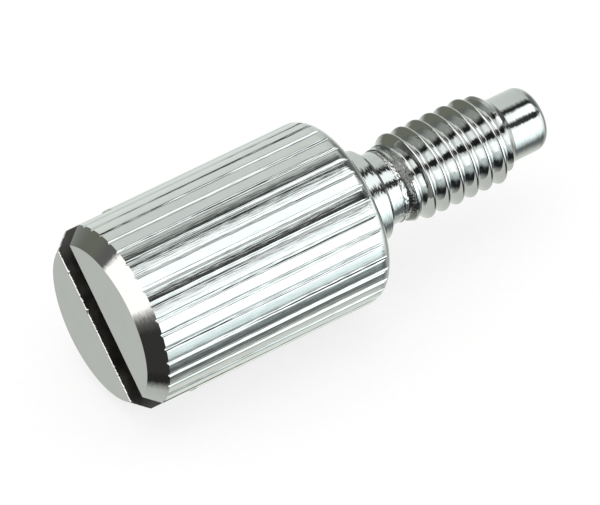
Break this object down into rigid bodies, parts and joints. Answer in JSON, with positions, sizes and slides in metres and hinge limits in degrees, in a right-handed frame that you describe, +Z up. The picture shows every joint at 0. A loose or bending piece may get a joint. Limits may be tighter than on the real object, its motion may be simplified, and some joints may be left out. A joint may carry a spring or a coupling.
{
  "type": "thumb screw",
  "caption": "Slotted thumb screw with a straight-knurled cylindrical head, plain collar, undercut neck, metric thread and dog point, lying on its side.",
  "frame": {"origin": "the point where the screw's axis meets the seat under the head", "axes": "+X along the screw's axis from the head to the tip, +Z up with the screw lying on the side of its head, +Y across it"},
  "size_m": [0.0211, 0.008, 0.008],
  "materials": {
    "nickel": "bright nickel plate over turned steel"
  },
  "bodies": {
    "root": {"thumb_screw": "nickel"}
  },
  "joints": []
}
